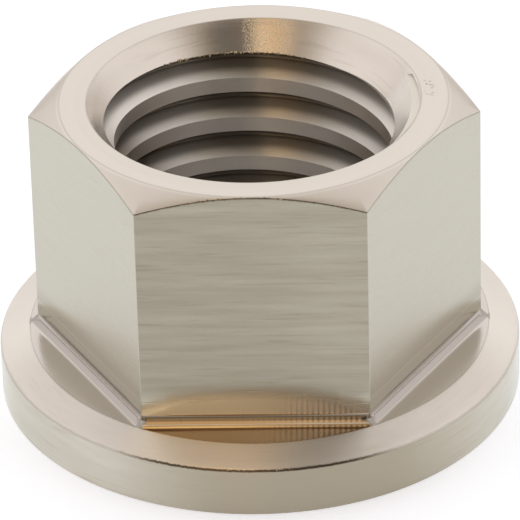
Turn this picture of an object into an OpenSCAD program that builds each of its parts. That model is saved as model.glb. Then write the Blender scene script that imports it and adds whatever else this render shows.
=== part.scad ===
// Hexagon collar nut, machined from bar in one piece.
// The origin is on the axis, in the bearing face under the collar, with +Z towards the hexagon's top.

/* [Thread] */
// Nominal diameter of the thread, at the bottom of its groove
thread_d = 14; // [12:0.5:15]
// Distance from one turn of the thread to the next
thread_pitch = 2; // [1:0.25:2.5]
// How much of the full thread depth is cut, in percent
thread_fill = 83; // [70:1:100]
// Included angle of the thread's flanks
thread_angle = 60; // [55:1:60]
// How far the thread's root is rounded out past the nominal radius
root_round = 0.07; // [0.04:0.01:0.1]
// Where the middle of the groove passes the bearing face, as degrees about the axis
thread_start = 47; // [0:1:359]

/* [Hexagon] */
// Width across the flats
hex_s = 17; // [16.5:0.1:17.5]
// How much is turned off the diameter across the corners
corner_off = 0.03; // [0.02:0.01:0.6]
// Height of the whole nut
nut_h = 14; // [12:0.5:18]
// How far inside the flats the corner chamfer starts on top
crown_in = 0.07; // [0.02:0.01:0.4]
// Slope of the corner chamfer
crown_slope = 30; // [20:1:35]

/* [Collar] */
// How far the collar reaches past the hexagon's corners
collar_reach = 1.7; // [1:0.1:4]
// Height of the collar's straight rim, from the bearing face
rim_h = 2.3; // [1.5:0.1:3]
// Slope of the collar's top, falling outwards
collar_slope = 21; // [15:1:25]
// How far above the rim's top the cutter leaves the floor around the hexagon
foot_rise = 0.5; // [0.3:0.05:0.7]
// Radius that the cutter leaves at the foot of each flat
foot_r = 0.35; // [0.2:0.05:0.8]
// Edge break along the top and the bottom of the rim
rim_break = 0.1; // [0.05:0.05:0.3]

/* [Countersinks] */
// How much wider than the thread the countersink in the top face is
top_sink_over = 0.5; // [0.3:0.1:1.2]
// Included angle of the countersink in the top face
top_sink_angle = 82; // [80:1:100]
// How much wider than the thread the countersink in the bearing face is
base_sink_over = 1; // [0.3:0.1:2]
// Included angle of the countersink in the bearing face
base_sink_angle = 90; // [80:1:100]

/* [Hidden] */
// Chords in one turn of the groove, a prime number so that its corners stay off the cones' edges
groove_steps = 47;
// Full thread depth, five eighths of the height of the pitch's sharp triangle
full_depth = 5 / 8 * thread_pitch / 2 / tan(thread_angle / 2);
thread_r = thread_d / 2;
bore_r = thread_r - full_depth * thread_fill / 100;
// How far each cutter runs on past the metal
cut_over = thread_pitch / 2;
corner_r = hex_s / 2 / cos(30) - corner_off / 2;
crown_r = hex_s / 2 - crown_in;
crown_drop = (corner_r - crown_r) * tan(crown_slope);
collar_r = corner_r + collar_reach;
cone_z = rim_h + collar_reach * tan(collar_slope);
foot_z = rim_h + foot_rise;

$fn = 96;

// Turned outside of the nut: rim, sloped collar, corner diameter and corner chamfer
module blank() {
    rotate_extrude()
        polygon([
            [0, 0],
            [collar_r - rim_break, 0],
            [collar_r, rim_break],
            [collar_r, rim_h - rim_break],
            [collar_r - rim_break, rim_h + rim_break * tan(collar_slope)],
            [corner_r, cone_z],
            [corner_r, nut_h - crown_drop],
            [crown_r, nut_h],
            [0, nut_h],
        ]);
}

// Path of the cutter along one flat, with the radius that it leaves at the foot
module flat_cut() {
    reach = collar_r;
    translate([-collar_r - cut_over, -hex_s / 2, foot_z])
        rotate([90, 0, 90])
            linear_extrude(2 * (collar_r + cut_over))
                union() {
                    translate([-reach, foot_r]) square([reach, nut_h]);
                    translate([-reach - foot_r, 0]) square([reach, nut_h]);
                    translate([-foot_r, foot_r]) circle(r = foot_r);
                }
}

// Cone that opens one end of the bore, with its wide end in the face at z = 0 and its point below
module sink(d, angle) {
    slope = tan(angle / 2);
    depth = (d / 2 - bore_r) / slope + cut_over;
    translate([0, 0, -depth])
        cylinder(h = depth + cut_over, r1 = d / 2 - depth * slope, r2 = d / 2 + cut_over * slope);
}

// Width of the thread groove at radius r, an eighth of the pitch at the nominal radius
function groove_w(r) = thread_pitch / 8 + 2 * (thread_r - r) * tan(thread_angle / 2);

// Right-hand groove of the thread, from below the bearing face to above the top
module thread_groove() {
    inner_r = bore_r - thread_pitch / 12;
    section = [
        [inner_r, -groove_w(inner_r) / 2],
        [thread_r, -groove_w(thread_r) / 2],
        [thread_r + root_round, 0],
        [thread_r, groove_w(thread_r) / 2],
        [inner_r, groove_w(inner_r) / 2],
    ];
    n = len(section);
    rings = ceil(groove_steps * (nut_h / thread_pitch + 2));
    points = [
        for (i = [0:rings])
            let (turn = i / groove_steps, a = thread_start + 360 * turn)
                for (p = section)
                    [p[0] * cos(a), p[0] * sin(a), p[1] + (turn - 1) * thread_pitch]
    ];
    sides = [
        for (i = [0:rings - 1])
            for (j = [0:n - 1])
                let (a = i * n + j, b = i * n + (j + 1) % n)
                    for (t = [[a, b + n, a + n], [a, b, b + n]]) t
    ];
    ends = [[for (j = [n - 1:-1:0]) j], [for (j = [0:n - 1]) rings * n + j]];
    polyhedron(points, concat(sides, ends), convexity = 10);
}

module collar_nut() {
    color([0.80, 0.78, 0.74])
        difference() {
            blank();
            for (k = [0:5]) rotate([0, 0, 60 * k]) flat_cut();
            translate([0, 0, -cut_over]) cylinder(h = nut_h + 2 * cut_over, r = bore_r);
            translate([0, 0, nut_h]) sink(thread_d + top_sink_over, top_sink_angle);
            mirror([0, 0, 1]) sink(thread_d + base_sink_over, base_sink_angle);
            thread_groove();
        }
}

collar_nut();
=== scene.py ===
import bpy
import bmesh
import math
import random
from mathutils import Matrix, Vector


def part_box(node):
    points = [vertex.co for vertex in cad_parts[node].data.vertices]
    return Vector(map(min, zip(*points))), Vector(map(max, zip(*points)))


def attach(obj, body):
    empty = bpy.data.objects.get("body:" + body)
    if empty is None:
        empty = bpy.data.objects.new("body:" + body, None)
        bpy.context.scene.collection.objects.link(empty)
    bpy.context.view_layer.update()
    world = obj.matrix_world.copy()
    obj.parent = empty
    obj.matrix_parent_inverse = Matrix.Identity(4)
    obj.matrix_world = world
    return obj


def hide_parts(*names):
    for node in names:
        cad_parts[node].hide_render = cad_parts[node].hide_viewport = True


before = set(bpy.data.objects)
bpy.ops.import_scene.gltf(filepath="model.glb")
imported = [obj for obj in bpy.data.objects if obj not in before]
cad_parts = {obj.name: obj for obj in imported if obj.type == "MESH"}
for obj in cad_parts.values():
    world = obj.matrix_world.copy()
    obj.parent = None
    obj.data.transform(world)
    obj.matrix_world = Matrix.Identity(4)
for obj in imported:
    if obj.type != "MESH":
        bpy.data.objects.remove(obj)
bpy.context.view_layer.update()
mm = 0.001
lowCorner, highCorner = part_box("collar_nut")
print("frame loaded")

# Camera, at the photograph's angle
cameraSetup = {
    "frame": 520,            # side of the square picture, in pixels
    "sensor": 36.0,
    "distance": 234.0 * mm,  # from the middle of the nut
    "elevation": 30.85,
    "azimuth": 1.81,         # degrees to the right of the front flat
    "roll": 1.56,
    "scale": 22.79 / mm,     # pixels in a metre at the middle of the nut
    "middleAt": (257.3, 236.95),
}


def makeCamera(setup):
    elevation, azimuth = math.radians(setup["elevation"]), math.radians(setup["azimuth"])
    roll = math.radians(setup["roll"])
    focal = setup["scale"] * setup["distance"]  # in pixels
    back = Vector((math.sin(azimuth) * math.cos(elevation),
                   -math.cos(azimuth) * math.cos(elevation),
                   math.sin(elevation)))
    ahead = -back
    right = ahead.cross(Vector((0, 0, 1))).normalized()
    up = right.cross(ahead)
    half = setup["frame"] / 2
    dx, dy = (setup["middleAt"][0] - half) / focal, (setup["middleAt"][1] - half) / focal
    across = math.cos(roll) * dx - math.sin(roll) * dy
    down = math.sin(roll) * dx + math.cos(roll) * dy
    turn, tip = math.atan(across), math.atan(down / math.hypot(1, across))
    turned = math.cos(turn) * ahead - math.sin(turn) * right
    sideways = math.cos(turn) * right + math.sin(turn) * ahead
    aim = math.cos(tip) * turned + math.sin(tip) * up
    top = math.cos(tip) * up - math.sin(tip) * turned
    cameraRight = math.cos(roll) * sideways - math.sin(roll) * top
    cameraUp = math.sin(roll) * sideways + math.cos(roll) * top
    data = bpy.data.cameras.new("pictureCamera")
    data.sensor_width = setup["sensor"]
    data.lens = focal * setup["sensor"] / setup["frame"]
    data.clip_start, data.clip_end = 0.01, 20
    camera = bpy.data.objects.new("pictureCamera", data)
    bpy.context.scene.collection.objects.link(camera)
    middle = (lowCorner + highCorner) / 2
    rotation = Matrix((cameraRight, cameraUp, -aim)).transposed().to_4x4()
    camera.matrix_world = Matrix.Translation(middle + back * setup["distance"]) @ rotation
    bpy.context.scene.camera = camera


makeCamera(cameraSetup)
print("camera placed")

# The nut's sizes, in millimetres and degrees
nut = {
    "height": (highCorner.z - lowCorner.z) / mm,
    "collarRadius": (highCorner.x - lowCorner.x) / 2 / mm,
    "apothem": 8.5,          # half the width across flats
    "cornerOff": 0.015,      # turned off each corner
    "crownIn": 0.07,
    "crownSlope": 30,
    "rim": 2.3,
    "collarSlope": 21,
    "footRise": 0.5,
    "footRadius": 0.44,
    "footSteps": 14,
    "rimBreak": 0.1,
    "boreRadius": 6.1014,
    "topSink": 7.25,
    "topSinkAngle": 82,
    "baseSink": 7.5,
    "baseSinkAngle": 90,
    "edge": 0.03,            # radius on the sharp edges
    "sharpFrom": 25,         # an edge that bends more than this shows as sharp
}


def tangent(degrees):
    return math.tan(math.radians(degrees))


cornerRadius = nut["apothem"] / math.cos(math.radians(30)) - nut["cornerOff"]
crownRadius = nut["apothem"] - nut["crownIn"]
coneTop = nut["rim"] + (nut["collarRadius"] - cornerRadius) * tangent(nut["collarSlope"])
floorHeight = nut["rim"] + nut["footRise"]
floorRadius = nut["collarRadius"] - nut["footRise"] / tangent(nut["collarSlope"])
footTop = floorHeight + nut["footRadius"]


def collarAt(z):  # radius of the turned blank between the floor and the hexagon
    return cornerRadius + max(0, coneTop - z) / tangent(nut["collarSlope"])


def profile(psi):  # outline at psi degrees from the middle of a flat, each point with the finish after it
    height, apothem = nut["height"], nut["apothem"] / math.cos(math.radians(psi))
    side = min(apothem, cornerRadius)
    points = []

    def add(radius, z, finish, rounded=False):
        points.append((radius, z, finish, rounded))

    def run(count, finish):  # points on the straight line from the last point to the next
        points.append((count, finish))

    add(nut["topSink"], height, "turnedFace", True)
    run(2, "turnedFace")
    add(crownRadius, height, "turnedFace", True)
    run(1, "turnedFace")
    add(side, height - (side - crownRadius) * tangent(nut["crownSlope"]), "milledFlat", True)
    run(6, "milledFlat")
    add(side, footTop, "milledFoot")
    for k in range(1, nut["footSteps"] + 1):
        swing = math.pi / 2 * k / nut["footSteps"]
        z = floorHeight + nut["footRadius"] * (1 - math.sin(swing))
        out = nut["footRadius"] * (1 - math.cos(swing)) / math.cos(math.radians(psi))
        add(min(apothem + out, collarAt(z)), z, "milledFoot")
    run(2, "milledFoot")
    add(floorRadius, floorHeight, "turnedCollar", True)
    run(3, "turnedCollar")
    add(nut["collarRadius"] - nut["rimBreak"], nut["rim"] + nut["rimBreak"] * tangent(nut["collarSlope"]),
        "turnedCollar", True)
    add(nut["collarRadius"], nut["rim"] - nut["rimBreak"], "turnedRim", True)
    run(2, "turnedRim")
    add(nut["collarRadius"], nut["rimBreak"], "turnedRim", True)
    add(nut["collarRadius"] - nut["rimBreak"], 0, "turnedFace", True)
    run(2, "turnedFace")
    add(nut["baseSink"], 0, "boredCone", True)
    run(1, "boredCone")
    baseDepth = (nut["baseSink"] - nut["boreRadius"]) / tangent(nut["baseSinkAngle"] / 2)
    topDepth = (nut["topSink"] - nut["boreRadius"]) / tangent(nut["topSinkAngle"] / 2)
    add(nut["boreRadius"], baseDepth, "tappedThread")
    add(nut["boreRadius"], height - topDepth, "boredCone")
    run(3, "boredCone")
    return smoothed(points)


def smoothed(points):  # rounds the marked corners and fills the straight runs
    corners = [p for p in points if len(p) == 4]
    outline = []
    for i, (radius, z, finish, rounded) in enumerate(corners):
        here = Vector((radius, z))
        if not rounded:
            outline.append((here, finish))
            continue
        before = Vector(corners[i - 1][:2]) - here
        after = Vector(corners[(i + 1) % len(corners)][:2]) - here
        cut = min(nut["edge"], before.length / 3, after.length / 3)
        start = here + before.normalized() * cut if before.length else here
        end = here + after.normalized() * cut if after.length else here
        outline += [(start, finish), ((start + 2 * here + end) / 4, finish), (end, finish)]
    filled, at = [], 0
    for p in points:
        if len(p) == 4:
            for _ in range(3 if p[3] else 1):
                filled.append(outline[at])
                at += 1
        else:
            start, end = filled[-1][0], outline[at % len(outline)][0]
            filled += [(start.lerp(end, k / (p[0] + 1)), p[1]) for k in range(1, p[0] + 1)]
    return filled


def columnAngles():  # close together at the hexagon's corners
    strip = 30 - math.degrees(math.acos(nut["apothem"] / cornerRadius))
    near = [0, strip / 2, strip, 0.3, 0.6, 1, 1.5, 2, 2.5, 3, 4, 5.5]
    steps = near + [7.5 + 2.5 * k for k in range(9)]
    half = steps + [30] + [60 - s for s in reversed(steps[1:])]
    return [60 * k + s for k in range(6) for s in half]


finishes = ["turnedFace", "turnedCollar", "turnedRim", "milledFlat", "milledFoot",
            "boredCone", "tappedThread"]


def makeBody():
    shape = bmesh.new()
    columns = []
    for angle in columnAngles():
        a = math.radians(angle)
        outline = profile(angle % 60 - 30)
        columns.append([shape.verts.new((p.x * math.cos(a), p.x * math.sin(a), p.y)) for p, _ in outline])
    kinds = [finishes.index(finish) for _, finish in outline]
    for j, column in enumerate(columns):
        other = columns[(j + 1) % len(columns)]
        for i, kind in enumerate(kinds):
            k = (i + 1) % len(kinds)
            shape.faces.new((column[i], column[k], other[k], other[i])).material_index = kind
    bmesh.ops.remove_doubles(shape, verts=shape.verts, dist=1e-5)
    bmesh.ops.dissolve_degenerate(shape, edges=shape.edges, dist=1e-5)
    bmesh.ops.recalc_face_normals(shape, faces=shape.faces)
    return finished(shape, "nutBody")


thread = {
    "radius": 7,
    "pitch": 2,
    "angle": 60,
    "start": 47,             # degrees where the groove passes the bearing face
    "rootRound": 0.07,
    "rootSteps": 4,
    "flankSteps": 4,
    "steps": 144,            # in one turn
    "runOut": (2842, 2862, 2898),  # degrees turned where it starts to tear, tears fully and stops
    "wider": 0.12,           # how far it tears the groove outwards and upwards there
    "higher": 0.3,
}


def makeGroove():  # what the tap cuts away
    inner, apex = nut["boreRadius"] - thread["pitch"] / 12, thread["radius"] + thread["rootRound"]
    half = math.radians(thread["angle"] / 2)
    point = thread["radius"] + thread["pitch"] / 16 / math.tan(half)  # where the flanks would meet
    rounding = (point - apex) / (1 / math.sin(half) - 1)
    middle = apex - rounding
    count = thread["rootSteps"]
    turns = [(math.pi / 2 - half) * k / count for k in range(-count, count + 1)]
    root = [(middle + rounding * math.cos(t), rounding * math.sin(t)) for t in turns]
    radii = [inner + (root[-1][0] - inner) * k / thread["flankSteps"] for k in range(thread["flankSteps"])]
    flank = [(r, (point - r) * math.tan(half)) for r in radii]
    section = [(r, -z) for r, z in flank] + root + [(r, z) for r, z in reversed(flank)]
    begin, full, stop = thread["runOut"]
    shape = bmesh.new()
    rings = []
    for k in range(math.ceil(thread["steps"] * (nut["height"] / thread["pitch"] + 2)) + 1):
        turn = k / thread["steps"]
        angle = thread["start"] + 360 * turn
        torn = min(1, max(0, (angle - begin) / (full - begin))) if angle < stop else 0
        a, rise = math.radians(angle), (turn - 1) * thread["pitch"]
        ring = []
        for r, z in section:
            r += torn * thread["wider"] if r > thread["radius"] - 0.01 else 0  # the root
            z += torn * thread["higher"] if z > 0.01 else 0  # the upper flank
            ring.append(shape.verts.new((r * math.cos(a), r * math.sin(a), z + rise)))
        rings.append(ring)
    for low, high in zip(rings, rings[1:]):
        for i in range(len(section)):
            k = (i + 1) % len(section)
            shape.faces.new((low[i], low[k], high[k], high[i]))
    shape.faces.new(rings[0])
    shape.faces.new(list(reversed(rings[-1])))
    for face in shape.faces:
        face.material_index = finishes.index("tappedThread")
    bmesh.ops.recalc_face_normals(shape, faces=shape.faces)
    return finished(shape, "tapPath")


def finished(shape, name):
    mesh = bpy.data.meshes.new(name)
    shape.to_mesh(mesh)
    shape.free()
    made = bpy.data.objects.new(name, mesh)
    bpy.context.scene.collection.objects.link(made)
    return made


def makeNut(materials):
    body, groove = makeBody(), makeGroove()
    for made in (body, groove):
        for finish in finishes:
            made.data.materials.append(materials[finish])
    cut = body.modifiers.new("thread", "BOOLEAN")
    cut.object, cut.operation, cut.solver = groove, "DIFFERENCE", "EXACT"
    depsgraph = bpy.context.evaluated_depsgraph_get()
    mesh = bpy.data.meshes.new_from_object(body.evaluated_get(depsgraph))
    mesh.transform(Matrix.Scale(mm, 4))
    mesh.name = "collarNut"
    for made in (body, groove):
        bpy.data.objects.remove(made)
    piece = bpy.data.objects.new("collarNut", mesh)
    bpy.context.scene.collection.objects.link(piece)
    mesh.shade_smooth()
    mesh.set_sharp_from_angle(angle=math.radians(nut["sharpFrom"]))
    weights = piece.modifiers.new("flatFaces", "WEIGHTED_NORMAL")
    weights.keep_sharp = True
    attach(piece, "root")
    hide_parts("collar_nut")
    return piece


# Burrs that the tools leave along the edges, as fine shards of metal
burrs = {
    "seed": 7,
    "sunk": 0.02,            # how deep a shard stands in the metal
    "splay": 0.8,            # how far it leans any way
    "smallest": 0.35,
    "faintest": 0.1,         # the edge has no shards where they would be smaller than this
    "margin": 0.004,         # how far the shards stay inside the nut's box
    # Density is shards in a millimetre; middle, reach and fading are degrees; low and high are heights
    "edges": [
        {"between": ("turnedCollar", "turnedRim"), "density": 13, "length": 0.13, "width": 0.08,
         "middle": 271, "reach": 8, "fading": 60,
         "low": 1, "high": nut["rim"] + 1, "shift": nut["rimBreak"] / 2},
        {"between": ("turnedFace", "milledFlat"), "density": 17, "length": 0.15, "width": 0.09,
         "middle": 265, "reach": 12, "fading": 6,
         "low": 1, "high": nut["height"] - 0.02, "shift": 0},
        {"between": ("boredCone", "tappedThread"), "density": 26, "length": 0.13, "width": 0.08,
         "middle": 99, "reach": 28, "fading": 8,
         "low": nut["height"] / 2, "high": nut["height"], "shift": 0},
    ],
}


def makeBurrs(piece, setup, materials):
    chance = random.Random(setup["seed"])
    shape, shards = bmesh.new(), bmesh.new()
    shape.from_mesh(piece.data)
    farthest, highest = nut["collarRadius"] - setup["margin"], nut["height"] - setup["margin"]

    def scatter(size):
        return Vector([chance.uniform(-size, size) for _ in range(3)])

    def kept(point):  # moved inside the nut's box
        reach = math.hypot(point.x, point.y)
        point.xy *= min(1, farthest / reach)
        point.z = min(point.z, highest)
        return point

    for line in setup["edges"]:
        pair = {finishes.index(finish) for finish in line["between"]}
        for edge in shape.edges:
            if {face.material_index for face in edge.link_faces} != pair:
                continue
            start, end = [vertex.co / mm for vertex in edge.verts]
            angle = math.degrees(math.atan2(start.y, start.x))
            apart = abs((angle - line["middle"] + 180) % 360 - 180)
            fade = 1 - max(0, apart - line["reach"]) / line["fading"]
            if fade < setup["faintest"] or not line["low"] <= start.z <= line["high"]:
                continue
            outwards = sum((face.normal for face in edge.link_faces), Vector()).normalized()
            for _ in range(int((end - start).length * line["density"] + chance.random())):
                size = (setup["smallest"] + (1 - setup["smallest"]) * chance.random() ** 2) * fade
                at = start.lerp(end, chance.random())
                at.xy *= 1 - line["shift"] / nut["collarRadius"]
                at.z += line["shift"]
                tip = at + (outwards + scatter(setup["splay"])).normalized() * line["length"] * size
                base = [at - outwards * setup["sunk"] + scatter(line["width"] * size) for _ in range(3)]
                corners = [shards.verts.new(kept(p) * mm) for p in base + [tip]]
                for sides in ((0, 2, 1), (0, 1, 3), (1, 2, 3), (2, 0, 3)):
                    shards.faces.new([corners[i] for i in sides])
    shape.free()
    bmesh.ops.recalc_face_normals(shards, faces=shards.faces)
    made = finished(shards, "edgeBurrs")
    made.data.materials.append(materials["burr"])
    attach(made, "root")
    return made


# Shader nodes
def plug(tree, value, socket):
    if isinstance(value, bpy.types.NodeSocket):
        tree.links.new(value, socket)
    else:
        socket.default_value = value


def calculate(tree, operation, *values):
    node = tree.nodes.new("ShaderNodeMath")
    node.operation = operation
    for socket, value in zip(node.inputs, values):
        plug(tree, value, socket)
    return node.outputs[0]


def plus(tree, first, *others):
    for value in others:
        first = calculate(tree, "ADD", first, value)
    return first


def times(tree, first, *others):
    for value in others:
        first = calculate(tree, "MULTIPLY", first, value)
    return first


def minus(tree, first, second):
    return calculate(tree, "SUBTRACT", first, second)


def over(tree, first, second):
    return calculate(tree, "DIVIDE", first, second)


def most(tree, first, second):
    return calculate(tree, "MAXIMUM", first, second)


def away(tree, value, middle):  # how far a value is from the middle, on either side
    return calculate(tree, "ABSOLUTE", minus(tree, value, middle))


def ramp(tree, value, start, end):  # goes smoothly from 0 at start to 1 at end
    node = tree.nodes.new("ShaderNodeMapRange")
    node.interpolation_type = "SMOOTHSTEP"
    for name, given in (("Value", value), ("From Min", start), ("From Max", end)):
        plug(tree, given, node.inputs[name])
    return node.outputs["Result"]


def noise(tree, x, y, z, detail=0.0, roughness=0.5):  # about 0.5, with one grain in each unit
    at = tree.nodes.new("ShaderNodeCombineXYZ")
    for socket, value in zip(at.inputs, (x, y, z)):
        plug(tree, value, socket)
    node = tree.nodes.new("ShaderNodeTexNoise")
    node.inputs["Scale"].default_value = 1
    node.inputs["Detail"].default_value, node.inputs["Roughness"].default_value = detail, roughness
    tree.links.new(at.outputs[0], node.inputs["Vector"])
    return node.outputs["Fac"]


def blend(tree, factor, first, second):
    node = tree.nodes.new("ShaderNodeMix")
    node.data_type = "RGBA"
    plug(tree, factor, node.inputs["Factor"])
    plug(tree, first if isinstance(first, bpy.types.NodeSocket) else (*first, 1), node.inputs["A"])
    plug(tree, second if isinstance(second, bpy.types.NodeSocket) else (*second, 1), node.inputs["B"])
    return node.outputs["Result"]


def makeGroup(name, inputs, outputs, fill):
    tree = bpy.data.node_groups.new(name, "ShaderNodeTree")
    for label, value in inputs.items():
        socket = tree.interface.new_socket(label, in_out="INPUT", socket_type="NodeSocketFloat")
        socket.default_value = value
    for label in outputs:
        tree.interface.new_socket(label, in_out="OUTPUT", socket_type="NodeSocketFloat")
    given, result = tree.nodes.new("NodeGroupInput"), tree.nodes.new("NodeGroupOutput")
    for label, value in zip(outputs, fill(tree, given.outputs)):
        tree.links.new(value, result.inputs[label])
    return tree


def useGroup(tree, group, **values):
    node = tree.nodes.new("ShaderNodeGroup")
    node.node_tree = group
    for label, value in values.items():
        plug(tree, value, node.inputs[label])
    return node.outputs


def fillPlace(tree, given):  # where a point lies on the nut, in millimetres and degrees
    place, parts = tree.nodes.new("ShaderNodeTexCoord"), tree.nodes.new("ShaderNodeSeparateXYZ")
    tree.links.new(place.outputs["Object"], parts.inputs[0])
    x, y, z = [times(tree, part, 1 / mm) for part in parts.outputs]
    radius = calculate(tree, "SQRT", plus(tree, times(tree, x, x), times(tree, y, y)))
    turned = calculate(tree, "DEGREES", calculate(tree, "ARCTAN2", y, x))
    angle = calculate(tree, "MODULO", plus(tree, turned, 360), 360)
    psi = calculate(tree, "RADIANS", minus(tree, calculate(tree, "MODULO", angle, 60), 30))
    flatwise = times(tree, radius, calculate(tree, "SINE", psi))
    flat = calculate(tree, "FLOOR", over(tree, angle, 60))
    return radius, z, angle, flatwise, flat


markShape = {                # how much wider and longer the broad and deep marks are than the fine ones
    "broad": (9, 3),
    "deep": (2.2, 2),
    "deepFrom": (0.6, 0.72),
}


def fillMarks(tree, given):  # fine lines left by a tool, broad ones and a few deep ones
    across = over(tree, given["Across"], given["Spacing"])
    along = over(tree, given["Along"], given["Length"])

    def larger(name, seed, detail):
        wider, longer = markShape[name]
        return noise(tree, over(tree, across, wider), over(tree, along, longer),
                     plus(tree, given["Seed"], seed), detail)

    fine = noise(tree, across, along, given["Seed"], 3, 0.6)
    deep = ramp(tree, larger("deep", 7.7, 1), *markShape["deepFrom"])
    return fine, larger("broad", 3.3, 2), deep


speckShape = {"from": 0.85, "share": 0.4, "soft": 0.06}


def fillSpecks(tree, given):  # small grains, more of them with a greater share
    place, grains = tree.nodes.new("ShaderNodeTexCoord"), tree.nodes.new("ShaderNodeTexNoise")
    grains.inputs["Detail"].default_value = 1
    tree.links.new(place.outputs["Object"], grains.inputs["Vector"])
    tree.links.new(over(tree, 1 / mm, given["Size"]), grains.inputs["Scale"])
    edge = minus(tree, speckShape["from"], times(tree, given["Share"], speckShape["share"]))
    mask = ramp(tree, grains.outputs["Fac"], edge, plus(tree, edge, speckShape["soft"]))
    return grains.outputs["Fac"], mask


placeGroup = makeGroup("nutPlace", {}, ("Radius", "Height", "Angle", "Flatwise", "Flat"), fillPlace)
marksGroup = makeGroup("toolMarks", {"Across": 0, "Along": 0, "Spacing": 0.1, "Length": 3, "Seed": 0},
                       ("Fine", "Broad", "Deep"), fillMarks)
specksGroup = makeGroup("specks", {"Size": 0.06, "Share": 0.3}, ("Grain", "Mask"), fillSpecks)

# What every finish has, with its marks' spacing, length and depth in millimetres
finishLook = {
    "turnedFace": {
        "colour": (0.77, 0.705, 0.64), "shade": (0.62, 0.55, 0.48), "roughness": 0.3, "drawn": 0.3,
        "across": "Radius", "along": "Angle", "spacing": 0.07, "length": 90, "depth": 0.0003,
        "broad": 0.2, "deep": 0.1, "grain": 0.05,
    },
    "turnedCollar": {
        "colour": (0.76, 0.695, 0.635), "shade": (0.55, 0.48, 0.41), "roughness": 0.42, "drawn": 0.8,
        "across": "Radius", "along": "Angle", "spacing": 0.05, "length": 5, "depth": 0.001,
        "broad": 0.2, "deep": 0.12, "grain": 0.1,
    },
    "turnedRim": {
        "colour": (0.645, 0.62, 0.54), "shade": (0.425, 0.38, 0.295), "roughness": 0.35, "drawn": 0.8,
        "across": "Height", "along": "Angle", "spacing": 0.05, "length": 6, "depth": 0.001,
        "broad": 0.3, "deep": 0.25, "grain": 0.08,
    },
    "milledFlat": {
        "colour": (0.53, 0.51, 0.43), "shade": (0.305, 0.275, 0.21), "roughness": 0.26, "drawn": 0.6,
        "across": "Height", "along": "Flatwise", "spacing": 0.045, "length": 1.6, "depth": 0.0006,
        "broad": 0.3, "deep": 0.2, "grain": 0.04, "eachFlat": 5.1,
    },
    "milledFoot": {
        "colour": (0.71, 0.65, 0.61), "shade": (0.5, 0.43, 0.37), "roughness": 0.1, "drawn": 0.0,
        "across": "Flatwise", "along": "Radius", "spacing": 0.1, "length": 2, "depth": 0.0003,
        "broad": 0.2, "deep": 0.1, "grain": 0.05, "eachFlat": 5.1,
    },
    "boredCone": {
        "colour": (0.76, 0.685, 0.62), "shade": (0.53, 0.46, 0.4), "roughness": 0.25, "drawn": 0.8,
        "across": "Height", "along": "Angle", "spacing": 0.06, "length": 10, "depth": 0.0006,
        "broad": 0.2, "deep": 0.2, "grain": 0.3,
    },
    "tappedThread": {
        "colour": (0.9, 0.85, 0.79), "shade": (0.6, 0.55, 0.48), "roughness": 0.32, "drawn": 0.95,
        "across": "Height", "along": "Angle", "spacing": 0.09, "length": 30, "depth": 0.0003,
        "broad": 0.2, "deep": 0.05, "grain": 0.03,
    },
}
# painted glints: pale gold with dark patches from the broad marks, and less metal, on real shards
burrLook = dict(finishLook["turnedCollar"], colour=(0.95, 0.77, 0.5), shade=(0.12, 0.085, 0.05),
                drawn=0, roughness=0.3, broad=1.5, metal=0.3)


markUse = {
    "broadFrom": 0.35,       # where the broad marks start to shade
    "rough": (0.8, 0.4),     # share of the roughness everywhere, and what the fine marks add
    "furrow": 2,             # depth of the deep marks, against the fine ones
    "grain": 0.01,
}


def toolMarked(tree, place, look, share=1):  # a surface with its tool marks, or only a share of them
    seed = times(tree, place["Flat"], look["eachFlat"]) if "eachFlat" in look else 0
    marks = useGroup(tree, marksGroup, Across=place[look["across"]], Along=place[look["along"]],
                     Spacing=look["spacing"], Length=look["length"], Seed=seed)
    grain = useGroup(tree, specksGroup, Share=look["grain"])["Grain"]
    broad = times(tree, minus(tree, marks["Broad"], markUse["broadFrom"]), look["broad"] * 2)
    shade = plus(tree, broad, times(tree, marks["Deep"], look["deep"]))
    rough, more = [part * look["roughness"] for part in markUse["rough"]]
    furrow = times(tree, marks["Deep"], look["depth"] * markUse["furrow"])
    cut = minus(tree, times(tree, marks["Fine"], look["depth"]), furrow)
    return {
        "shade": times(tree, shade, share),
        "rough": plus(tree, times(tree, marks["Fine"], more), rough),
        "height": plus(tree, times(tree, cut, share), times(tree, grain, look["grain"] * markUse["grain"])),
        "metal": look.get("metal", 1),
    }


def plainSurface(tree, place, look):
    surface = toolMarked(tree, place, look)
    surface["colour"] = blend(tree, surface["shade"], look["colour"], look["shade"])
    return surface


def degreesFrom(tree, place, middle):  # how far round the nut a point is from an angle
    turned = calculate(tree, "MODULO", plus(tree, place["Angle"], 540 - middle), 360)
    return away(tree, turned, 180)


edgeLines = {                # dark burred edges
    "width": 0.085,
    "fade": (0.7, 0.3),      # shares of the width where a line fades out
    "ragged": 0.08,
    "tear": 0.7,
    "colour": (0.1, 0.075, 0.05),
}


def tearing(tree, place):  # how far a burred edge wanders, in millimetres
    torn = noise(tree, over(tree, place["Angle"], edgeLines["tear"]), place["Height"], 2.5, 2, 0.7)
    return times(tree, torn, edgeLines["ragged"])


faceDetail = {
    "chamferShade": 0.5,     # painted shade on the corner chamfer, from this far below the top
    "chamferFrom": (0.02, 0.1),
    "line": 0.2,             # strength and reach of the painted shade lines along both edges
    "lineReach": (0.06, 0.01),
    "dentAngle": 6,          # where a few small dents are
    "dentSpread": (8, 3),
    "dentRadius": 7.65,
    "dentReach": (0.35, 0.1),
    "dentSize": 0.15,
    "dentTurn": 7,           # degrees in a millimetre there
    "dentFrom": (0.64, 0.7),
    "dent": 0.4,
}


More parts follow.
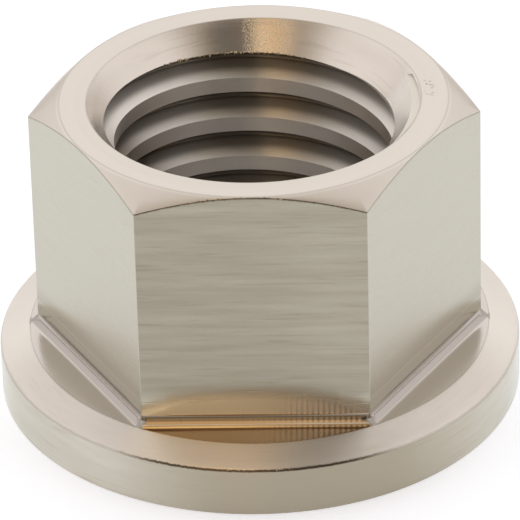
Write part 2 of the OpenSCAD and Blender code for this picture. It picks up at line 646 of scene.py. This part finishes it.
def faceSurface(tree, place, look):
    surface, setup = toolMarked(tree, place, look), faceDetail
    # painted shade on the corner chamfer
    chamfer = ramp(tree, minus(tree, nut["height"], place["Height"]), *setup["chamferFrom"])
    shade = most(tree, surface["shade"], times(tree, chamfer, setup["chamferShade"]))
    colour = blend(tree, shade, look["colour"], look["shade"])
    # painted shade along both edges
    gaps = [away(tree, place["Radius"], edge) for edge in (crownRadius, nut["topSink"])]
    line = times(tree, ramp(tree, calculate(tree, "MINIMUM", *gaps), *setup["lineReach"]), setup["line"])
    near = times(tree, ramp(tree, degreesFrom(tree, place, setup["dentAngle"]), *setup["dentSpread"]),
                 ramp(tree, away(tree, place["Radius"], setup["dentRadius"]), *setup["dentReach"]))
    size = setup["dentSize"]
    turned = over(tree, place["Angle"], size * setup["dentTurn"])
    grains = noise(tree, over(tree, place["Radius"], size), turned, 4.4)
    dents = times(tree, near, ramp(tree, grains, *setup["dentFrom"]), setup["dent"])
    surface["colour"] = blend(tree, most(tree, line, dents), colour, edgeLines["colour"])
    return surface


rimEdge = {                  # the collar's edge and sides, in degrees from the front
    "sides": (62, 88),       # where the painted lighter sides begin
    "front": (34, 20),       # where the edge's dark line is strong
    "faint": 0.2,
    "strong": 0.75,
    "inwards": (0.2, 0.12),  # millimetres in from the collar's radius, where the line ends
}


def rimSides(tree, place, colour, paintedReflection):  # painted light on the lighter sides, then the dark line along the edge
    ahead = degreesFrom(tree, place, 270)
    colour = blend(tree, ramp(tree, ahead, *rimEdge["sides"]), colour, paintedReflection)
    middle = nut["rim"] - nut["rimBreak"] / 2 + edgeLines["ragged"] / 2
    gap = away(tree, plus(tree, place["Height"], tearing(tree, place)), middle)
    line = ramp(tree, gap, *[share * edgeLines["width"] for share in edgeLines["fade"]])
    front = times(tree, ramp(tree, ahead, *rimEdge["front"]), rimEdge["strong"])
    strength = plus(tree, front, rimEdge["faint"])
    outer = ramp(tree, place["Radius"], *[nut["collarRadius"] - reach for reach in rimEdge["inwards"]])
    return blend(tree, times(tree, line, strength, outer), colour, edgeLines["colour"])


collarDetail = {
    "angle": 260,            # where a painted gold reflection lies on the front of the collar
    "spread": (26, 8),
    "strength": 0.7,
    # painted reflection: the gold that the collar's front mirrors
    "paintedGold": (0.95, 0.82, 0.66),
    # painted light: the collar's sides lighter, as they mirror the bright room
    "sides": (0.86, 0.8, 0.74),
}


def collarSurface(tree, place, look):
    surface, setup = plainSurface(tree, place, look), collarDetail
    near = ramp(tree, degreesFrom(tree, place, setup["angle"]), *setup["spread"])
    # painted gold reflection on the front, then the painted lighter sides and the edge's dark line
    paintedGold = blend(tree, times(tree, near, setup["strength"]), surface["colour"], setup["paintedGold"])
    surface["colour"] = rimSides(tree, place, paintedGold, setup["sides"])
    return surface


rimDetail = {
    "angle": 282,            # where painted shade darkens the front of the rim
    "spread": (52, 15),
    # painted light: the rim's sides lighter, as they mirror the bright room
    "sides": (0.74, 0.735, 0.68),
}


def rimSurface(tree, place, look):
    surface, setup = plainSurface(tree, place, look), rimDetail
    near = ramp(tree, degreesFrom(tree, place, setup["angle"]), *setup["spread"])
    # painted shade on the front of the rim, then the painted lighter sides and the edge's dark line
    paintedDark = blend(tree, near, surface["colour"], look["shade"])
    surface["colour"] = rimSides(tree, place, paintedDark, setup["sides"])
    return surface


coarseFlat = {               # the front flat, milled more coarsely than the others; painted shade and reflections also go on it
    "number": 4,
    "others": 0.15,          # share of the marks that the others have
    "side": (-2, 4),         # where it changes from its left to its right
}
chatter = {                  # ticks that the cutter leaves at its foot
    "pitch": 0.234,
    "depth": 0.00026,
    "top": 4.4,
    "side": 0.8,
    "patchy": 0.7,
    "patch": 1.5,
}


def milledSurface(tree, place, look):
    coarseAndPaintedLight = calculate(tree, "COMPARE", place["Flat"], coarseFlat["number"], 0.5)
    side = ramp(tree, place["Flatwise"], *coarseFlat["side"])
    share = plus(tree, times(tree, coarseAndPaintedLight, 1 - coarseFlat["others"]), coarseFlat["others"])
    surface = toolMarked(tree, place, look, share)
    wave = calculate(tree, "SINE", times(tree, place["Flatwise"], 2 * math.pi / chatter["pitch"]))
    patchy = noise(tree, over(tree, place["Flatwise"], chatter["patch"]), place["Flat"], 0.5)
    strength = plus(tree, times(tree, side, chatter["side"]), times(tree, patchy, chatter["patchy"]))
    low = ramp(tree, place["Height"], chatter["top"], footTop)
    ticks = times(tree, wave, strength, coarseAndPaintedLight, low, chatter["depth"])
    surface["height"] = plus(tree, surface["height"], ticks)
    return surface, coarseAndPaintedLight, side


flatDetail = {
    "paintedShade": 0.7,           # painted shade: how much darker the front flat is, and how much less so at its right
    "right": 0.12,
    "darkFrom": (0.5, 1.3),  # above the foot
    "leanTop": 4.7,          # the cutter leans a little below this height
    "leanBlend": 0.8,
    "leanSlope": 0.075,
    "polish": 0.35,          # roughness at the foot, as a share of the whole, and how far up it reaches
    "polishReach": 2,
    "low": (5.0, 4.0),       # where painted shade darkens the other flats towards the foot
    "lowStrength": 0.45,
    "glowReach": 10.9,       # the collar's edge, as the front flat mirrors it; below it goes a painted gold reflection
    "glowSlope": 0.6,
    "glowEdge": (0.2, -0.35),
    "glow": (0.91, 0.84, 0.63),
    "glowRight": (0.48, 0.43, 0.36),
    "glowMatt": 0.47,
    "step": 3.92,            # height of a step of the cutter on the other flats
    "stepWidth": 0.05,
    "stepStrength": 0.25,
    "stepColour": (0.8, 0.76, 0.7),
    "line": (0.3, 0.6),      # strength of the dark line at the top, and what the front flat has more
    "lineFrom": 0.04,
}


def flatSurface(tree, place, look):
    surface, coarseAndPaintedLight, side = milledSurface(tree, place, look)
    setup, z, others = flatDetail, place["Height"], minus(tree, 1, coarseAndPaintedLight)
    # painted shade: the front flat darker than the others, above its foot
    paintedShade = minus(tree, setup["paintedShade"], times(tree, side, setup["right"]))
    above = ramp(tree, z, *[footTop + up for up in setup["darkFrom"]])
    shade = plus(tree, surface["shade"], times(tree, coarseAndPaintedLight, paintedShade, above))
    colour = blend(tree, shade, look["colour"], look["shade"])
    lean = calculate(tree, "SMOOTH_MIN", z, setup["leanTop"], setup["leanBlend"])
    surface["height"] = plus(tree, surface["height"], times(tree, lean, setup["leanSlope"]))
    worn = times(tree, ramp(tree, z, footTop, footTop + setup["polishReach"]), 1 - setup["polish"])
    surface["rough"] = times(tree, surface["rough"], plus(tree, worn, setup["polish"]))
    # painted shade low on the other flats
    low = times(tree, ramp(tree, z, *setup["low"]), setup["lowStrength"], others)
    colour = blend(tree, low, colour, look["shade"])
    square = times(tree, place["Flatwise"], place["Flatwise"])
    reach = calculate(tree, "SQRT", minus(tree, setup["glowReach"] ** 2, square))
    top = plus(tree, times(tree, minus(tree, reach, nut["apothem"]), setup["glowSlope"]), floorHeight)
    # painted reflection: gold low on the front flat, and less metal there
    glow = times(tree, coarseAndPaintedLight, ramp(tree, minus(tree, z, top), *setup["glowEdge"]))
    colour = blend(tree, glow, colour, blend(tree, side, setup["glow"], setup["glowRight"]))
    surface["metal"] = minus(tree, 1, times(tree, glow, setup["glowMatt"]))
    step = ramp(tree, away(tree, z, setup["step"]), setup["stepWidth"], 0)
    colour = blend(tree, times(tree, step, setup["stepStrength"], others), colour, setup["stepColour"])
    slope = tangent(nut["crownSlope"])
    fallen = plus(tree, z, times(tree, place["Radius"], slope))
    gap = minus(tree, nut["height"] + crownRadius * slope, fallen)
    gap = plus(tree, gap, tearing(tree, place))
    strength = plus(tree, times(tree, coarseAndPaintedLight, setup["line"][1]), setup["line"][0])
    line = times(tree, ramp(tree, gap, setup["lineFrom"] + edgeLines["width"], setup["lineFrom"]), strength)
    surface["colour"] = blend(tree, line, colour, edgeLines["colour"])
    return surface


# The heights here are shares of the foot's radius, and the other distances are in millimetres
footDetail = {
    # painted reflections on the front flat's foot: dark on its floor, gold on the turn, between on the bend
    "floor": (0.26, 0.2, 0.155),
    "turn": (0.95, 0.79, 0.58),
    "bend": (0.6, 0.48, 0.34),
    "turnFrom": 0.12,        # how far from the radius the painted reflection on the floor turns brighter
    "bendFrom": (0.07, 0.2),
    "right": 0.45,           # how much less of these the right has
    # painted shade: a dark line across the fillet
    "lineLow": (0.25, 0.42),
    "lineHigh": (1.0, 0.8),
    "line": (0.3, 0.55),     # strength of the painted dark line, and what the front flat has more
    "paintedDark": 0.36,            # painted shade: how much darker the radius of the other flats is
    "darkFrom": (0.02, 0.1),
    "corner": (0.46, 0.42, 0.385),
    "cornerOut": (0.4, 0.65),
    "turnedFrom": (0.05, 0),  # where the corner is left as turned, inside its radius and off its cone
    "turnedGap": (0.03, 0.01),
    "rough": (2.2, 1.2),     # of the other flats' floors, and what the front one has less
    "turnedRough": 0.2,
}


def footSurface(tree, place, look):
    surface, coarseAndPaintedLight, side = milledSurface(tree, place, look)
    setup, others = footDetail, minus(tree, 1, coarseAndPaintedLight)
    lift = over(tree, minus(tree, place["Height"], floorHeight), nut["footRadius"])
    squares = [times(tree, place[name], place[name]) for name in ("Radius", "Flatwise")]
    out = calculate(tree, "SQRT", minus(tree, *squares))  # from the axis, square to the flat
    edge = nut["apothem"] + nut["footRadius"]
    # painted reflections on the front flat's foot
    paintedReflection = blend(tree, ramp(tree, out, edge + setup["turnFrom"], edge), setup["floor"], setup["turn"])
    paintedReflection = blend(tree, ramp(tree, lift, *setup["bendFrom"]), paintedReflection, setup["bend"])
    part = minus(tree, 1, times(tree, side, setup["right"]))
    colour = blend(tree, surface["shade"], look["colour"], look["shade"])
    colour = blend(tree, times(tree, coarseAndPaintedLight, part), colour, paintedReflection)
    # painted shade: a dark line across the fillet, and the darker radius of the other flats
    strength = plus(tree, times(tree, coarseAndPaintedLight, setup["line"][1]), setup["line"][0])
    line = times(tree, ramp(tree, lift, *setup["lineLow"]), ramp(tree, lift, *setup["lineHigh"]), strength)
    paintedDark = times(tree, ramp(tree, lift, *setup["darkFrom"]), setup["paintedDark"], others)
    colour = blend(tree, most(tree, line, paintedDark), colour, edgeLines["colour"])
    fall = times(tree, minus(tree, place["Radius"], cornerRadius), tangent(nut["collarSlope"]))
    onCone = ramp(tree, away(tree, plus(tree, place["Height"], fall), coneTop), *setup["turnedGap"])
    beyond = ramp(tree, place["Radius"], *[cornerRadius - reach for reach in setup["turnedFrom"]])
    turned = times(tree, beyond, onCone)
    # the turned corner, darker near the corner and outwards in the collar's painted lighter side tone
    outer = ramp(tree, place["Radius"], *[cornerRadius + reach for reach in setup["cornerOut"]])
    colour = blend(tree, turned, colour, blend(tree, outer, setup["corner"], collarDetail["sides"]))
    full, less = setup["rough"]
    rough = times(tree, surface["rough"], minus(tree, full, times(tree, coarseAndPaintedLight, less)))
    surface["rough"] = plus(tree, rough, times(tree, turned, setup["turnedRough"]))
    surface["colour"] = colour
    return surface


coneDetail = {
    "fleckAngle": 86,        # where torn flecks stand up, with painted glints on them
    "fleckSpread": (10, 6),
    "fleckSize": 0.055,
    "fleckShare": 0.68,
    "fleckHeight": 0.01,
    "fleckMatt": 0.85,
    "paintedGlint": (1.0, 0.9, 0.62),
    "sides": (0.55, 0),      # sine of the angle between which the sides turn matt
    "sideMatt": 0.6,
    "right": (0.92, 0.99),   # cosine of the angle between which a painted highlight makes the right paler
    "paintedHighlight": (0.95, 0.92, 0.89),
}


def coneSurface(tree, place, look):
    surface, setup = plainSurface(tree, place, look), coneDetail
    near = ramp(tree, degreesFrom(tree, place, setup["fleckAngle"]), *setup["fleckSpread"])
    specks = useGroup(tree, specksGroup, Size=setup["fleckSize"], Share=setup["fleckShare"])
    flecks = times(tree, specks["Mask"], near)
    turn = calculate(tree, "RADIANS", place["Angle"])
    sides = ramp(tree, calculate(tree, "ABSOLUTE", calculate(tree, "SINE", turn)), *setup["sides"])
    right = ramp(tree, calculate(tree, "COSINE", turn), *setup["right"])
    surface["height"] = plus(tree, surface["height"], times(tree, flecks, setup["fleckHeight"]))
    matt = most(tree, times(tree, flecks, setup["fleckMatt"]), times(tree, sides, setup["sideMatt"]))
    surface["metal"] = minus(tree, 1, matt)
    # painted glints on the flecks
    colour = blend(tree, flecks, surface["colour"], setup["paintedGlint"])
    # painted highlight on the right of the cone
    surface["colour"] = blend(tree, right, colour, setup["paintedHighlight"])
    return surface


threadDetail = {
    "flank": (6.35, 6.68),   # radii between which painted shade darkens the flank and the root
    "root": (6.9, 7.03),
    "flankShade": 0.6,
    "rootShade": 0.3,
    "below": (13.3, 13.0),   # the run-out above this stays light and matt
    "runOutMetal": 0.4,
    "paintedDark": (0.12, 0.1, 0.075),
}


def threadSurface(tree, place, look):
    surface, setup = plainSurface(tree, place, look), threadDetail
    flank = times(tree, ramp(tree, place["Radius"], *setup["flank"]), setup["flankShade"])
    root = times(tree, ramp(tree, place["Radius"], *setup["root"]), setup["rootShade"])
    below = ramp(tree, place["Height"], *setup["below"])
    # painted shade deep in the groove
    paintedDark = times(tree, plus(tree, flank, root), below)
    surface["colour"] = blend(tree, paintedDark, surface["colour"], setup["paintedDark"])
    surface["metal"] = plus(tree, times(tree, below, 1 - setup["runOutMetal"]), setup["runOutMetal"])
    return surface


def makeSteel(name, look, makeSurface):
    material = bpy.data.materials.new(name)
    material.use_nodes = True
    tree = material.node_tree
    shader = tree.nodes["Principled BSDF"]
    surface = makeSurface(tree, useGroup(tree, placeGroup), look)
    for label, socket in (("colour", "Base Color"), ("metal", "Metallic"), ("rough", "Roughness")):
        plug(tree, surface[label], shader.inputs[socket])
    shader.inputs["Anisotropic"].default_value = look["drawn"]
    shader.inputs["Anisotropic Rotation"].default_value = 0.25
    around = tree.nodes.new("ShaderNodeTangent")
    around.direction_type, around.axis = "RADIAL", "Z"
    tree.links.new(around.outputs[0], shader.inputs["Tangent"])
    bump = tree.nodes.new("ShaderNodeBump")
    bump.inputs["Distance"].default_value = mm
    plug(tree, surface["height"], bump.inputs["Height"])
    tree.links.new(bump.outputs[0], shader.inputs["Normal"])
    return material


surfaces = {
    "turnedFace": faceSurface, "turnedCollar": collarSurface, "turnedRim": rimSurface,
    "milledFlat": flatSurface, "milledFoot": footSurface,
    "boredCone": coneSurface, "tappedThread": threadSurface,
}
materials = {name: makeSteel(name, look, surfaces[name]) for name, look in finishLook.items()}
materials["burr"] = makeSteel("burr", burrLook, plainSurface)
print("materials made")
collarNut = makeNut(materials)
print("nut built", len(collarNut.data.polygons), "faces")
edgeBurrs = makeBurrs(collarNut, burrs, materials)
print("burrs set", len(edgeBurrs.data.polygons), "faces")


# Floor and studio
studio = {
    "floorRadius": 1.5,
    "floorColour": (0.86, 0.885, 0.92),
    "floorGap": 0.01,        # under the nut, in millimetres
    "lift": (0.437, 0.45, 0.486),
    "liftInside": 0.12,      # share of it inside the bore, a painted shadow on the floor there
    "air": (1.0, 0.985, 0.97),
    "shadeColour": (0.42, 0.36, 0.28),
    "shade": (-0.35, 0.4),   # how far towards the front the room turns darker
    "shadeSide": (0.79, 0.43),
    "patches": [  # edges in degrees, from the front towards the right and upwards
        {"left": (-182, -181), "right": (182, 181), "low": (-2, -1), "high": (13, 1),
         "colour": (0.4, 0.37, 0.33)},
        {"left": (-40, -30), "right": (-12, -28), "low": (8, 22), "high": (80, 60),
         "colour": (0.52, 0.46, 0.39)},
        {"left": (-36, -28), "right": (1, -1), "low": (8, 22), "high": (90, 66),
         "colour": (0.86, 0.6, 0.34)},
        {"left": (-16, -4), "right": (1, -1), "low": (4, 14), "high": (64, 38),
         "colour": (1.4, 1.08, 0.72)},
        {"left": (-1, 1), "right": (50, 34), "low": (8, 22), "high": (80, 60),
         "colour": (0.13, 0.115, 0.095)},
    ],
}


def makeFloor(setup):
    shape = bmesh.new()
    bmesh.ops.create_circle(shape, cap_ends=True, segments=96, radius=setup["floorRadius"])
    floor = finished(shape, "floor")
    material = bpy.data.materials.new("paleFloor")
    material.use_nodes = True
    tree = material.node_tree
    tree.nodes.clear()
    output, path = tree.nodes.new("ShaderNodeOutputMaterial"), tree.nodes.new("ShaderNodeLightPath")
    cover, glow = tree.nodes.new("ShaderNodeBsdfDiffuse"), tree.nodes.new("ShaderNodeEmission")
    cover.inputs["Color"].default_value = (*setup["floorColour"], 1)
    glow.inputs["Color"].default_value = (*setup["lift"], 1)
    seen = most(tree, path.outputs["Is Camera Ray"], path.outputs["Is Glossy Ray"])
    seen = most(tree, seen, path.outputs["Is Transmission Ray"])
    place, reach = tree.nodes.new("ShaderNodeTexCoord"), tree.nodes.new("ShaderNodeVectorMath")
    reach.operation = "LENGTH"
    tree.links.new(place.outputs["Object"], reach.inputs[0])
    # painted shadow: the floor's lift is smaller inside the bore
    outside = calculate(tree, "GREATER_THAN", reach.outputs["Value"], nut["baseSink"] * mm)
    strength = times(tree, seen, most(tree, outside, setup["liftInside"]))
    tree.links.new(strength, glow.inputs["Strength"])
    both = tree.nodes.new("ShaderNodeAddShader")
    tree.links.new(cover.outputs[0], both.inputs[0])
    tree.links.new(glow.outputs[0], both.inputs[1])
    tree.links.new(both.outputs[0], output.inputs["Surface"])
    floor.data.materials.append(material)
    floor.location.z = lowCorner.z - setup["floorGap"] * mm


def makeWorld(setup):
    world = bpy.data.worlds.new("studioAir")
    bpy.context.scene.world = world
    world.use_nodes = True
    tree = world.node_tree
    place, parts = tree.nodes.new("ShaderNodeTexCoord"), tree.nodes.new("ShaderNodeSeparateXYZ")
    tree.links.new(place.outputs["Generated"], parts.inputs[0])
    x, y, z = parts.outputs
    front = times(tree, y, -1)
    aside = calculate(tree, "ABSOLUTE", x)
    shade = times(tree, ramp(tree, front, *setup["shade"]), ramp(tree, aside, *setup["shadeSide"]))
    colour = blend(tree, shade, setup["air"], setup["shadeColour"])
    azimuth = calculate(tree, "DEGREES", calculate(tree, "ARCTAN2", x, front))
    height = calculate(tree, "DEGREES", calculate(tree, "ARCSINE", z))
    for patch in setup["patches"]:
        mask = times(tree, ramp(tree, azimuth, *patch["left"]), ramp(tree, azimuth, *patch["right"]),
                     ramp(tree, height, *patch["low"]), ramp(tree, height, *patch["high"]))
        colour = blend(tree, mask, colour, patch["colour"])
    tree.links.new(colour, tree.nodes["Background"].inputs["Color"])


makeFloor(studio)
makeWorld(studio)
bpy.context.scene.view_settings.view_transform = "Standard"
print("studio set")
